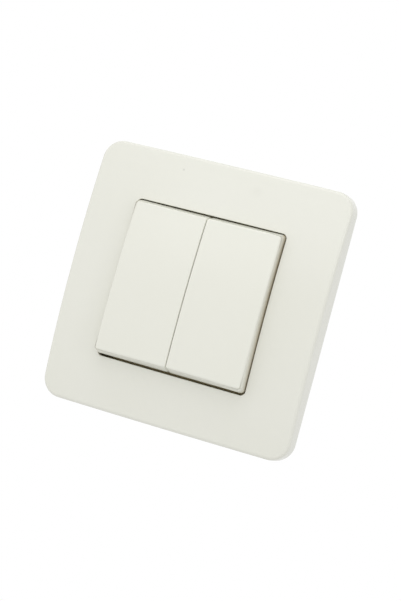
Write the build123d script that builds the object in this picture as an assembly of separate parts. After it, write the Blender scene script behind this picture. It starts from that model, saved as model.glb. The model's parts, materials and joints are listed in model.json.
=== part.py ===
from build123d import *
import math
import os

# Double changeover rocker switch for a flush wall box, in millimetres.
# X runs to the right, Z up. The wall plane is Y = 0 and the front faces -Y.
# A height is measured out of the wall (-Y). A negative height lies in the wall box.

# Cover plate
plate_width = 80.0
plate_length = 80.0
plate_corner = 6.1
plate_crest = 10.7
plate_dome_radius = 265.0
plate_draft_angle = 2.0
plate_edge_round = 1.2
plate_wall = 1.8
window_width = 47.4
window_length = 48.0
window_corner = 2.3
window_lip_round = 0.3
window_skirt_wall = 1.5
window_skirt_height = 3.6
clip_spread_x = 13.0
clip_spread_z = 27.5
clip_width = 4.0
clip_wall = 1.5
clip_hook = 0.6
clip_hook_length = 1.5
clip_play = 0.2
cut_margin = 1.0

# Rockers
rocker_crest = 13.9
rocker_dome_radius = 265.0
rocker_side_gap = 0.35
rocker_end_gap = 0.6
rocker_split = 0.4
rocker_side_taper_angle = 7.0
rocker_end_taper_angle = 16.0
rocker_taper_start = 9.0
rocker_skirt_height = 4.6
rocker_wall = 1.6
rocker_corner = 1.3
rocker_base_corner = 2.0
rocker_inner_corner = 0.6
rocker_split_corner = 0.9
rocker_edge_round = 0.45
rocker_leg_width = 5.0
rocker_leg_wall = 1.6
rocker_leg_reach = 8.5
rocker_leg_hook = 0.5
rocker_leg_tip = 1.2
rocker_leg_root = 0.3
leg_play = 0.1
rocker_swing_angle = 4.4

# Support frame
frame_plate_play = 2.7
frame_corner = 5.0
frame_sheet = 1.2
screw_spacing = 60.0
screw_slot_width = 4.2
screw_slot_length = 7.0
frame_seat_play = 0.2

# Mechanism base
base_width = 46.0
base_length = 43.0
base_corner = 5.0
base_depth = 19.5
base_wall = 1.5
base_floor = 2.0
base_rib = 0.9
pole_barrier = 1.5
wire_hole_radius = 1.9

# Mechanism cover
carrier_rim = 0.8
carrier_sheet = 1.6
carrier_plug_depth = 2.5
carrier_plug_wall = 1.4
arm_spread = 13.0
arm_width = 5.0
arm_wall = 1.2
arm_reach = 8.6
arm_hook = 0.9
arm_hook_length = 2.2
arm_play = 0.1
cheek_wall = 1.6
cheek_half_width = 3.2

# Actuators
pivot_height = 5.0
trunnion_radius = 1.5
trunnion_play = 0.06
hub_radius = 3.0
hub_length = 13.0
hub_play = 0.25
platform_width = 12.6
platform_length = 25.0
platform_height = 6.2
platform_sheet = 1.8
tube_radius = 2.7
tube_end = -4.0
bore_radius = 1.7
bore_blind_end = 4.0
tube_play = 0.7
tube_swing_room = 1.0

# Plungers and their springs
plunger_play = 0.06
plunger_inner_end = -0.8
plunger_gap = 0.06
spring_wire = 0.36
spring_turns = 4.0
spring_wire_faces = 6
spring_play = 0.12
spring_end_gap = 0.05

# Contact levers
lever_front = -9.6
lever_sheet = 0.8
lever_width = 4.6
lever_waist = 3.4
lever_corner = 1.0
lever_waist_length = 4.4
lever_contact_arm = 7.0
lever_end_margin = 2.0
lever_bead_radius = 0.6
lever_bead_play = 0.05
lever_swing_angle = 9.0

# Contacts
rivet_head_radius = 1.5
rivet_head_height = 0.7
rivet_shank_radius = 0.8
rivet_tail_radius = 1.1
rivet_tail_height = 0.3
rivet_dome_radius = 3.0
rivet_play = 0.02
contact_gap = 0.05

# Terminals
strip_sheet = 0.8
strip_width = 4.4
common_rail_width = 3.2
cradle_length = 4.0
cradle_gap = 0.35
cage_outer = 6.2
cage_wall = 1.0
cage_length = 6.0
cage_spread = 5.2
cage_wall_gap = 1.5
screw_shank_radius = 1.5
screw_thread_play = 0.03
screw_head_radius = 2.4
screw_head_height = 1.8
screw_head_gap = 0.9
screw_slot = 0.7
screw_slot_depth = 0.9
screw_access_play = 0.3

# Places worked out from the sizes above
sides = (-1, 1)
frame_width = plate_width - 2 * (plate_wall + frame_plate_play)
frame_length = plate_length - 2 * (plate_wall + frame_plate_play)
cavity_width = base_width - 2 * base_wall
cavity_length = base_length - 2 * base_wall
cage_level = cavity_length / 2 - cage_wall_gap - cage_outer / 2
pole_x = (cavity_width + pole_barrier) / 4
half_rocker_angle = rocker_swing_angle / 2
half_lever_angle = lever_swing_angle / 2
lever_back = lever_front - lever_sheet
floor_height = base_floor - base_depth
pair_width = window_width - 2 * rocker_side_gap
pair_length = window_length - 2 * rocker_end_gap
reach = math.radians(half_lever_angle)
dome_centre = lever_back - (
    rivet_head_height + contact_gap + rivet_dome_radius + lever_contact_arm * math.sin(reach)
) / math.cos(reach)
strip_front = dome_centre + rivet_dome_radius - rivet_head_height
strip_back = strip_front - strip_sheet
cage_front = floor_height + cage_length


def prism(outline, low, high, taper=0.0):
    """Raise a flat outline from one height above the wall plane to another."""
    return extrude(Plane.XZ.offset(low) * outline, amount=high - low, taper=taper)


def block(width, length, low, high, x=0.0, z=0.0):
    """Square-edged block with its width along X and its length along Z."""
    return prism(Pos(x, z) * Rectangle(width, length), low, high)


def rounded_block(width, length, radius, low, high, x=0.0, z=0.0):
    """Block with rounded corners as seen from the front."""
    return prism(Pos(x, z) * RectangleRounded(width, length, radius), low, high)


def profile(points, x, width):
    """Give a side outline, listed as (height, level) pairs, a width centred at x."""
    outline = make_face(Polyline([(-height, level) for height, level in points], close=True))
    return extrude(Plane.YZ.offset(x - width / 2) * outline, amount=width)


def post(radius, low, high, x=0.0, z=0.0):
    """Round post that stands out of the wall."""
    return prism(Pos(x, z) * Circle(radius), low, high)


def level_pin(radius, length, x, height, z=0.0):
    """Round pin that lies along X, centred at x."""
    return Pos(x, -height, z) * Rot(0, 90, 0) * Cylinder(radius, length)


def upright_pin(radius, low, high, x, height):
    """Round pin that lies along Z from one level to another."""
    return Pos(x, -height, (low + high) / 2) * Cylinder(radius, high - low)


def domed_space(crest, radius):
    """Large ball whose foremost point stands at the crest height."""
    return Pos(0, radius - crest, 0) * Sphere(radius)


def domed_block(inset, crest):
    """Drafted block of the cover plate's outline, drawn in by an inset, with a domed front."""
    outline = RectangleRounded(plate_width - 2 * inset, plate_length - 2 * inset, plate_corner - inset)
    body = prism(outline, 0, crest + cut_margin, plate_draft_angle)
    return body & domed_space(crest, plate_dome_radius)


def domed_front(shape):
    """The largest domed face of a shape."""
    return max(shape.faces().filter_by(GeomType.SPHERE), key=lambda face: face.area)


def turned(shape, angle, height):
    """Turn a shape about the level axis that stands at the given height."""
    return Pos(0, -height, 0) * Rot(angle, 0, 0) * Pos(0, height, 0) * shape


def plate_clip(side, end):
    """Barbed tongue behind the cover plate, which hooks behind the support frame."""
    inner = end * clip_spread_z
    outer = end * (clip_spread_z + clip_wall)
    root_drop = (clip_spread_x**2 + clip_spread_z**2) / (2 * plate_dome_radius)
    root = plate_crest - plate_wall / 2 - root_drop
    barb = outer + end * clip_hook
    tip = -clip_play - clip_hook_length
    points = [(root, inner), (tip, inner), (tip, outer)]
    points += [(-clip_play, barb), (-clip_play, outer), (root, outer)]
    return profile(points, side * clip_spread_x, clip_width)


def make_cover_plate():
    """Domed square shell with the rocker window, its rim and four barbed tongues."""
    outer = domed_block(0.0, plate_crest)
    outer = fillet(domed_front(outer).outer_wire().edges(), plate_edge_round)
    hollow = domed_block(plate_wall, plate_crest - plate_wall)
    rim = rounded_block(
        window_width + 2 * window_skirt_wall,
        window_length + 2 * window_skirt_wall,
        window_corner + window_skirt_wall,
        window_skirt_height,
        plate_crest,
    )
    plate = outer - hollow + (rim & outer)
    plate -= rounded_block(window_width, window_length, window_corner, 0, plate_crest + cut_margin)
    front = max(plate.faces().filter_by(GeomType.SPHERE), key=lambda face: -face.center().Y)
    plate = fillet(front.inner_wires()[0].edges(), window_lip_round)
    for side in sides:
        for end in sides:
            plate += plate_clip(side, end)
    return plate


def rocker_outline(inset, corner, rise):
    """Outline of the rocker pair, drawn in by an inset and by the tapers at a rise above their start."""
    side_inset = inset + rise * math.tan(math.radians(rocker_side_taper_angle))
    end_inset = inset + rise * math.tan(math.radians(rocker_end_taper_angle))
    radius = max(corner - inset, rocker_inner_corner)
    outline = RectangleRounded(pair_width - 2 * side_inset, pair_length - 2 * end_inset, radius)
    return Plane.XZ.offset(rocker_taper_start + rise) * outline


def rocker_shape(inset, crest, low):
    """Half of the tapered rocker pair, drawn in by an inset and cut at the split."""
    top = crest + cut_margin
    foot = rocker_outline(inset, rocker_base_corner, 0.0)
    head = rocker_outline(inset, rocker_corner, top - rocker_taper_start)
    body = extrude(foot, amount=low - rocker_taper_start)
    body += loft([foot.face(), head.face()], ruled=True)
    body = body & domed_space(crest, rocker_dome_radius)
    start = rocker_split / 2 + inset
    return body & block(pair_width, 2 * pair_length, low - cut_margin, top, start + pair_width / 2)


def rocker_leg(end):
    """Barbed leg behind a rocker cap, which snaps through the actuator's platform."""
    inner = end * rocker_leg_reach
    outer = end * (rocker_leg_reach + rocker_leg_wall)
    barb = outer + end * rocker_leg_hook
    seat = platform_height - leg_play
    tip = seat - rocker_leg_tip
    root = rocker_crest - rocker_wall + rocker_leg_root
    points = [(root, inner), (tip, inner), (tip, outer), (seat, barb), (seat, outer), (root, outer)]
    return profile(points, pole_x, rocker_leg_width)


def make_rocker(side):
    """Rocker cap in the tipped position, a tapered shell with two barbed legs."""
    shell = rocker_shape(0.0, rocker_crest, rocker_skirt_height)
    inner_face = shell.faces().sort_by(Axis.X)[0]
    ends = [edge for edge in inner_face.edges() if abs(edge.center().Z) > pair_length / 3]
    shell = fillet(ends, rocker_split_corner)
    shell = fillet(domed_front(shell).outer_wire().edges(), rocker_edge_round)
    shell -= rocker_shape(rocker_wall, rocker_crest - rocker_wall, rocker_skirt_height - cut_margin)
    platform_top = platform_height + platform_sheet
    for end in sides:
        shell += rocker_leg(end)
        shell += block(
            rocker_leg_width,
            rocker_wall,
            platform_top,
            rocker_crest - rocker_wall + rocker_leg_root,
            pole_x,
            end * platform_length / 4,
        )
    if side < 0:
        shell = mirror(shell, Plane.YZ)
    return turned(shell, -half_rocker_angle, pivot_height)


def make_support_frame():
    """Steel sheet frame with the mechanism opening, screw slots and clip holes."""
    frame = rounded_block(frame_width, frame_length, frame_corner, 0, frame_sheet)
    frame -= block(cavity_width, cavity_length, -cut_margin, frame_sheet + cut_margin)
    for end in sides:
        place = end * screw_spacing / 2
        across = Pos(place, 0) * SlotOverall(screw_slot_length, screw_slot_width)
        along = Pos(0, place) * SlotOverall(screw_slot_length, screw_slot_width, 90)
        frame -= prism(across, -cut_margin, frame_sheet + cut_margin)
        frame -= prism(along, -cut_margin, frame_sheet + cut_margin)
        for side in sides:
            hole_length = clip_wall + clip_hook + 2 * clip_play
            middle = clip_spread_z + (clip_wall + clip_hook) / 2 - clip_hook
            frame -= block(
                clip_width + 2 * clip_play,
                hole_length,
                -cut_margin,
                frame_sheet + cut_margin,
                side * clip_spread_x,
                end * middle,
            )
    return frame


def terminals():
    """Places of the six wire clamps, as (x, level) pairs."""
    places = []
    for side in sides:
        places.append((side * pole_x - cage_spread, cage_level))
        places.append((side * pole_x + cage_spread, cage_level))
        places.append((side * pole_x, -cage_level))
    return places


def make_mechanism_base():
    """Open moulded box with a barrier between the poles, ribs, wire holes and screw holes."""
    base = rounded_block(base_width, base_length, base_corner, -base_depth, 0)
    base -= rounded_block(cavity_width, cavity_length, base_corner - base_wall, floor_height, cut_margin)
    barrier_top = -carrier_plug_depth - arm_play
    base += block(pole_barrier, cavity_length, floor_height, barrier_top)
    for side in sides:
        for offset in (-strip_width / 2 + base_rib / 2, strip_width / 2 - base_rib / 2):
            base += block(
                base_rib,
                2 * (cage_level - cage_outer / 2) - 2 * base_rib,
                floor_height,
                strip_back,
                side * pole_x + offset,
            )
        for end in sides:
            base -= block(
                arm_width + 2 * arm_play,
                2 * base_wall,
                -arm_reach - arm_play,
                -arm_reach + arm_hook_length + arm_play,
                side * arm_spread,
                end * base_length / 2,
            )
    for x, level in terminals():
        base -= post(wire_hole_radius, -base_depth - cut_margin, floor_height + cut_margin, x, level)
        end = math.copysign(1, level)
        wall_middle = end * (base_length - base_wall) / 2
        base -= upright_pin(
            screw_head_radius + screw_access_play,
            wall_middle - base_wall,
            wall_middle + base_wall,
            x,
            floor_height + cage_length / 2,
        )
    return base


def snap_arm(side, end):
    """Snap arm of the mechanism cover, which hooks in a window of the base."""
    outer = end * (cavity_length / 2 - arm_play)
    inner = outer - end * arm_wall
    barb = outer + end * arm_hook
    tip = -arm_reach
    catch = tip + arm_hook_length
    root = frame_sheet + carrier_sheet / 2
    points = [(root, inner), (tip, inner), (tip, outer), (catch, barb), (catch, outer), (root, outer)]
    return profile(points, side * arm_spread, arm_width)


def bearing_cheek(x):
    """Ear with a round bearing for one actuator trunnion."""
    outline = [
        (frame_sheet + carrier_sheet / 2, -cheek_half_width),
        (pivot_height, -cheek_half_width),
        (pivot_height, cheek_half_width),
        (frame_sheet + carrier_sheet / 2, cheek_half_width),
    ]
    ear = profile(outline, x, cheek_wall) + level_pin(cheek_half_width, cheek_wall, x, pivot_height)
    return ear - level_pin(trunnion_radius + trunnion_play, 2 * cheek_wall, x, pivot_height)


def make_mechanism_cover():
    """Moulded front of the mechanism with bearings, plunger slots and snap arms."""
    flange_top = frame_sheet + carrier_sheet
    plug_width = cavity_width - 2 * frame_seat_play
    plug_length = cavity_length - 2 * frame_seat_play
    cover = rounded_block(
        base_width + 2 * carrier_rim, base_length + 2 * carrier_rim, base_corner, frame_sheet, flange_top
    )
    plug_corner = base_corner - base_wall - frame_seat_play
    cover += rounded_block(plug_width, plug_length, plug_corner, -carrier_plug_depth, frame_sheet)
    cover -= rounded_block(
        plug_width - 2 * carrier_plug_wall,
        plug_length - 2 * carrier_plug_wall,
        plug_corner - carrier_plug_wall,
        -carrier_plug_depth - cut_margin,
        frame_sheet,
    )
    for side in sides:
        slot = 2 * (tube_radius + tube_play)
        cover -= block(slot, slot + tube_swing_room, -cut_margin, flange_top + cut_margin, side * pole_x)
        cover -= level_pin(hub_radius + hub_play, hub_length + 2 * hub_play, side * pole_x, pivot_height)
        for hand in sides:
            offset = hub_length / 2 + hub_play + cheek_wall / 2
            cover += bearing_cheek(side * pole_x + hand * offset)
        for end in sides:
            cover += snap_arm(side, end)
    return cover


def make_actuator(side):
    """Tipping actuator with trunnions, a platform for the rocker cap and the plunger tube."""
    x = side * pole_x
    body = block(platform_width, platform_length, platform_height, platform_height + platform_sheet, x)
    body += level_pin(hub_radius, hub_length, x, pivot_height)
    body += level_pin(trunnion_radius, hub_length + 2 * (hub_play + cheek_wall), x, pivot_height)
    body += post(tube_radius, tube_end, pivot_height, x)
    body -= post(bore_radius, tube_end - cut_margin, bore_blind_end, x)
    for end in sides:
        level = end * (rocker_leg_reach + (rocker_leg_wall + rocker_leg_hook) / 2)
        body -= block(
            rocker_leg_width + 2 * leg_play,
            rocker_leg_wall + rocker_leg_hook + 2 * leg_play,
            platform_height - cut_margin,
            platform_height + platform_sheet + cut_margin,
            x,
            level,
        )
        seat = end * (rocker_leg_reach + rocker_leg_wall + 2 * leg_play + rocker_leg_hook / 2)
        ledge_top = platform_height + platform_sheet
        body += block(rocker_leg_width, rocker_leg_hook, platform_height, ledge_top, x, seat)
    return turned(body, -half_rocker_angle, pivot_height)


def make_plunger(side):
    """Round-nosed plunger that presses the contact lever over."""
    radius = bore_radius - plunger_play
    nose = lever_front + plunger_gap + radius
    body = post(radius, nose, plunger_inner_end, side * pole_x)
    body += Pos(side * pole_x, -nose, 0) * Sphere(radius)
    return turned(body, -half_rocker_angle, pivot_height)


def make_spring(side):
    """Compression spring between the blind end of the bore and the plunger."""
    low = plunger_inner_end + spring_end_gap + spring_wire / 2
    high = bore_blind_end - spring_end_gap - spring_wire / 2
    coil_radius = bore_radius - spring_play - spring_wire / 2
    path = Helix(pitch=(high - low) / spring_turns, height=high - low, radius=coil_radius)
    section = Plane(origin=path @ 0, z_dir=path % 0) * RegularPolygon(spring_wire / 2, spring_wire_faces)
    coil = sweep(section, path=path)
    coil = Pos(side * pole_x, -low, 0) * Rot(90, 0, 0) * coil
    return turned(coil, -half_rocker_angle, pivot_height)


def make_contact_lever(side):
    """Brass seesaw with a cross bead that rocks in the cradle of the common terminal."""
    x = side * pole_x
    length = 2 * (lever_contact_arm + lever_end_margin)
    lever = rounded_block(lever_width, length, lever_corner, lever_back, lever_front, x)
    for hand in sides:
        notch = (lever_width - lever_waist) / 2
        place = x + hand * (lever_waist + notch) / 2
        lever -= block(notch, lever_waist_length, lever_back - cut_margin, lever_front + cut_margin, place)
    lever += level_pin(lever_bead_radius, lever_waist, x, lever_back)
    for end in sides:
        level = end * lever_contact_arm
        hole_radius = rivet_shank_radius + rivet_play
        lever -= post(hole_radius, lever_back - cut_margin, lever_front + cut_margin, x, level)
    return turned(lever, half_lever_angle, lever_back)


def make_lever_contacts(side):
    """Two silver rivets set through the ends of a contact lever."""
    x = side * pole_x
    rivets = []
    for end in sides:
        level = end * lever_contact_arm
        rivet = post(rivet_head_radius, lever_back - rivet_head_height, lever_back, x, level)
        rivet += post(rivet_shank_radius, lever_back, lever_front, x, level)
        rivet += post(rivet_tail_radius, lever_front, lever_front + rivet_tail_height, x, level)
        rivets.append(turned(rivet, half_lever_angle, lever_back))
    return Compound(rivets)


def wire_cage(x, level):
    """Square brass clamp, open towards the wire hole, with a threaded screw hole."""
    inner = cage_outer - 2 * cage_wall
    cage = block(cage_outer, cage_outer, floor_height, cage_front, x, level)
    cage -= block(inner, inner, floor_height - cut_margin, cage_front + cut_margin, x, level)
    end = math.copysign(1, level)
    start = level + end * (cage_outer / 2 - 2 * cage_wall)
    finish = level + end * (cage_outer / 2 + cage_wall)
    hole = upright_pin(
        screw_shank_radius + screw_thread_play,
        min(start, finish),
        max(start, finish),
        x,
        floor_height + cage_length / 2,
    )
    return cage - hole


def strip(left, right, bottom, top):
    """Flat run of contact strip between two X places and two levels."""
    middle = (left + right) / 2
    return block(right - left, top - bottom, strip_back, strip_front, middle, (bottom + top) / 2)


def rivet_hole(x, level):
    """Hole in a fixed strip for the shank of its contact rivet."""
    radius = rivet_shank_radius + rivet_play
    return post(radius, strip_back - cut_margin, strip_front + cut_margin, x, level)


def make_upper_terminal(side):
    """Fixed contact strip above the lever, with its wire clamp."""
    x = side * pole_x
    level = lever_contact_arm
    pad_top = level + strip_width / 2
    cage_x = x - cage_spread
    inner_edge = cage_level - cage_outer / 2 + cage_wall / 2
    piece = strip(x - strip_width / 2, x + strip_width / 2, level - strip_width / 2, pad_top)
    piece += strip(cage_x - strip_width / 2, x, pad_top - strip_width / 4, inner_edge)
    piece += wire_cage(cage_x, cage_level)
    return piece - rivet_hole(x, level)


def make_lower_terminal(side):
    """Fixed contact strip below the lever, with its wire clamp."""
    x = side * pole_x
    level = -lever_contact_arm
    inner_edge = -cage_level + cage_outer / 2 - cage_wall / 2
    piece = strip(x - strip_width / 2, x + strip_width / 2, inner_edge, level + strip_width / 2)
    piece += wire_cage(x, -cage_level)
    return piece - rivet_hole(x, level)


def make_common_terminal(side):
    """Common strip with the raised cradle of the lever and its wire clamp."""
    x = side * pole_x
    cage_x = x + cage_spread
    rail_right = cage_x + cage_outer / 2
    rail_left = rail_right - common_rail_width
    inner_edge = cage_level - cage_outer / 2 + cage_wall / 2
    seat = lever_back - cradle_gap
    half = cradle_length / 2
    inner_half = half - strip_sheet
    bridge = [
        (strip_back, -half),
        (seat, -half),
        (seat, half),
        (strip_back, half),
        (strip_back, inner_half),
        (seat - strip_sheet, inner_half),
        (seat - strip_sheet, -inner_half),
        (strip_back, -inner_half),
    ]
    piece = profile(bridge, x, lever_waist)
    piece += strip(x + lever_waist / 2 - strip_sheet, rail_right, -half, half)
    piece += strip(rail_left, rail_right, -half, inner_edge)
    piece += wire_cage(cage_x, cage_level)
    groove = level_pin(lever_bead_radius + lever_bead_play, 2 * lever_waist, x, lever_back)
    return piece - groove


def make_fixed_contacts():
    """Domed silver rivets in the four fixed strips."""
    rivets = []
    for side in sides:
        x = side * pole_x
        for end in sides:
            level = end * lever_contact_arm
            head = post(rivet_head_radius, strip_front, strip_front + rivet_head_height, x, level)
            head = head & (Pos(x, -dome_centre, level) * Sphere(rivet_dome_radius))
            shank = post(rivet_shank_radius, strip_back, strip_front, x, level)
            tail = post(rivet_tail_radius, strip_back - rivet_tail_height, strip_back, x, level)
            rivets.append(head + shank + tail)
    return Compound(rivets)


def terminal_screw(x, level):
    """Slotted clamp screw, backed off so that the wire hole is free."""
    end = math.copysign(1, level)
    height = floor_height + cage_length / 2
    cage_inside = cage_level + cage_outer / 2 - cage_wall
    head_seat = cage_level + cage_outer / 2 + screw_head_gap
    screw = upright_pin(screw_shank_radius, cage_inside, head_seat, x, height)
    screw += upright_pin(screw_head_radius, head_seat, head_seat + screw_head_height, x, height)
    slot_middle = head_seat + screw_head_height - screw_slot_depth / 2
    slot_length = 2 * screw_head_radius + cut_margin
    slot = Pos(x, -height, slot_middle) * Box(slot_length, screw_slot, screw_slot_depth)
    screw -= slot
    if end < 0:
        screw = mirror(screw, Plane.XY)
    return screw


def make_terminal_screws():
    """The six clamp screws."""
    return Compound([terminal_screw(x, level) for x, level in terminals()])


def write_parts():
    """Build every piece and write it to its own file."""
    pieces = {
        "cover_plate": make_cover_plate(),
        "support_frame": make_support_frame(),
        "mechanism_base": make_mechanism_base(),
        "mechanism_cover": make_mechanism_cover(),
        "fixed_contacts": make_fixed_contacts(),
        "terminal_screws": make_terminal_screws(),
    }
    for side, hand in zip(sides, ("left", "right")):
        pieces[hand + "_rocker"] = make_rocker(side)
        pieces[hand + "_actuator"] = make_actuator(side)
        pieces[hand + "_plunger"] = make_plunger(side)
        pieces[hand + "_plunger_spring"] = make_spring(side)
        pieces[hand + "_contact_lever"] = make_contact_lever(side)
        pieces[hand + "_lever_contacts"] = make_lever_contacts(side)
        pieces[hand + "_common_terminal"] = make_common_terminal(side)
        pieces[hand + "_upper_terminal"] = make_upper_terminal(side)
        pieces[hand + "_lower_terminal"] = make_lower_terminal(side)
    os.makedirs("parts", exist_ok=True)
    for node, shape in pieces.items():
        export_step(shape, f"parts/{node}.step")


write_parts()
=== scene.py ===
"""Dressed model of a double two-way light switch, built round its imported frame.

Sizes in the sub-assemblies are millimetres. "Height" is measured out of the wall, so it runs along -Y, and "level"
runs along Z. Blender's own units are metres.
"""

import json
import logging
import math
from collections.abc import Callable, Sequence
from dataclasses import dataclass
from enum import Enum

import bmesh
import bpy
from mathutils import Matrix, Vector

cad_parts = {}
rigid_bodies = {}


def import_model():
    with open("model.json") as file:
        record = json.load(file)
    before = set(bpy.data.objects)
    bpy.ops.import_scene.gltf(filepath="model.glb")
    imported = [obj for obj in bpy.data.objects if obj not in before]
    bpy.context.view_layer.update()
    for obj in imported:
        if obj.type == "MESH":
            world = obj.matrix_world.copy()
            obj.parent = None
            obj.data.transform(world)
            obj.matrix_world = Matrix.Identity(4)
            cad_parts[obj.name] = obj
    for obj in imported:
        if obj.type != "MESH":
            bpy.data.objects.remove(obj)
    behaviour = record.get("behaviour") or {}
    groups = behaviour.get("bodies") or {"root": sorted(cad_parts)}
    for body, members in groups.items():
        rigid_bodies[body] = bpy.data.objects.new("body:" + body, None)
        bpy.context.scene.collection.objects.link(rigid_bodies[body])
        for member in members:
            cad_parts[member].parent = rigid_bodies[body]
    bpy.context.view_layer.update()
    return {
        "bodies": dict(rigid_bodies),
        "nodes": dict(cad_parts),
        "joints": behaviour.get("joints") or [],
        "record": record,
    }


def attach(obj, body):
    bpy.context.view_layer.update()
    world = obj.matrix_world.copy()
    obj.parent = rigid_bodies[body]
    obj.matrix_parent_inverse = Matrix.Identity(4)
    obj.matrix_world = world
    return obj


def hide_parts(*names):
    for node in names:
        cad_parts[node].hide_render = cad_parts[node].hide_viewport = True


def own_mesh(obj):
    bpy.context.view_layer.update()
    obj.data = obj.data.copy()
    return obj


LOG = logging.getLogger("switch")
MM = 0.001
WHITE = (1.0, 1.0, 1.0, 1.0)

# What several pieces share, in millimetres and degrees.
PLATE_CREST = 10.7
FRONT_RADIUS = 265.0
WINDOW_WIDTH = 47.4
WINDOW_LENGTH = 48.0
POLE_X = 11.125
TIP_ANGLE = -2.2

# Passes that settle where a rolled edge leaves its wall.
ROLL_PASSES = 5
# Distances in millimetres within which points count as the same: on a side, in a joined ring and at a cut.
ON_SIDE = 1e-6
RING_GAP = 1e-5
CUT_GAP = 1e-4
# Least cosine at which a ring point's way out counts as square to a side.
SQUARE_TO_SIDE = 0.999
# Segments across a small rounded edge, and the round profile of a bevel.
SOFT_SEGMENTS = 2
ROUND_PROFILE = 0.5

# Tone of a faint spot, and the part of a noise's range in which most of its values lie.
MARK_TONE = "#8C8A82"
NOISE_LOW = 0.3
NOISE_HIGH = 0.7


class Side(Enum):
    """Left or right pole, with the sign of its X."""

    LEFT = -1
    RIGHT = 1

    @property
    def word(self) -> str:
        """Name used in node and piece names."""
        return self.name.lower()


def linear(code: str) -> tuple[float, float, float, float]:
    """Turns an sRGB hex colour into linear values.

    Args:
        code: Six hex digits after a hash sign.

    Returns:
        Red, green, blue and alpha.
    """
    values = []
    for start in (1, 3, 5):
        level = int(code[start : start + 2], 16) / 255
        values.append(level / 12.92 if level <= 0.04045 else ((level + 0.055) / 1.055) ** 2.4)
    return values[0], values[1], values[2], 1.0


def row(x: float, height: float, level: float) -> Vector:
    """Point of the row frame in metres, from millimetres."""
    return Vector((x, -height, level)) * MM


def mix(start: float, finish: float, share: float) -> float:
    """Value between two others."""
    return start + (finish - start) * share


# Shapes


@dataclass(frozen=True)
class Seed:
    """What a ring vertex keeps from ring to ring: its anchor among the corner centres and the way out."""

    across: float
    along: float
    out: Vector

    def push(self, distance: float) -> Vector:
        """Way outwards by a distance, as (x, level, height)."""
        return (self.out * distance).to_3d()


@dataclass(frozen=True)
class Footprint:
    """Rounded rectangle seen from the front, with its own corner radius at each side."""

    left: float
    right: float
    lower: float
    upper: float
    left_corner: float
    right_corner: float

    def _centre(self, across: float, along: float) -> tuple[Vector, float]:
        """Finds a point among the corner centres, and the radius there.

        Args:
            across: Place from the left (-1) to the right (1).
            along: Place from the lower end (-1) to the upper end (1).

        Returns:
            The point and the corner radius.
        """
        radius = mix(self.left_corner, self.right_corner, (across + 1) / 2)
        x = mix(self.left + self.left_corner, self.right - self.right_corner, (across + 1) / 2)
        level = mix(self.lower + radius, self.upper - radius, (along + 1) / 2)
        return Vector((x, level)), radius

    def seed(self, x: float, level: float) -> Seed:
        """Reads the seed of a point of this outline.

        Args:
            x: Place of the point along X.
            level: Place of the point along Z.

        Returns:
            Its seed.
        """
        first = self.left + self.left_corner
        last = self.right - self.right_corner
        across = min(1.0, max(-1.0, 2 * (x - first) / (last - first) - 1))
        radius = mix(self.left_corner, self.right_corner, (across + 1) / 2)
        low, high = self.lower + radius, self.upper - radius
        along = min(1.0, max(-1.0, 2 * (level - low) / (high - low) - 1))
        centre, _ = self._centre(across, along)
        return Seed(across, along, (Vector((x, level)) - centre).normalized())

    def place(self, seed: Seed) -> Vector:
        """Point of this outline that belongs to a seed."""
        centre, radius = self._centre(seed.across, seed.along)
        return centre + seed.out * radius

    def at(self, seed: Seed, height: float) -> Vector:
        """Point of this outline at a height, as (x, level, height)."""
        return self.place(seed).to_3d() + Vector((0, 0, height))

    def inset(self, depth: float) -> "Footprint":
        """Draws the outline in.

        Args:
            depth: How far, the same all round. Less than 0 widens it.

        Returns:
            The outline drawn in.
        """
        return Footprint(
            self.left + depth,
            self.right - depth,
            self.lower + depth,
            self.upper - depth,
            self.left_corner - depth,
            self.right_corner - depth,
        )


@dataclass(frozen=True)
class Dome:
    """Front that is slightly domed, as part of a large ball."""

    crest: float
    radius: float

    def lifted(self, flat: Vector, depth: float = 0.0) -> Vector:
        """Point of the front over a flat place, or of the surface that lies a depth under it."""
        height = self.crest - self.radius + math.sqrt((self.radius - depth) ** 2 - flat.x**2 - flat.y**2)
        return Vector((flat.x, flat.y, height))

    def normal(self, flat: Vector, depth: float = 0.0) -> Vector:
        """Outward direction as (x, level, height)."""
        return (self.lifted(flat, depth) - Vector((0, 0, self.crest - self.radius))).normalized()


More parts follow.
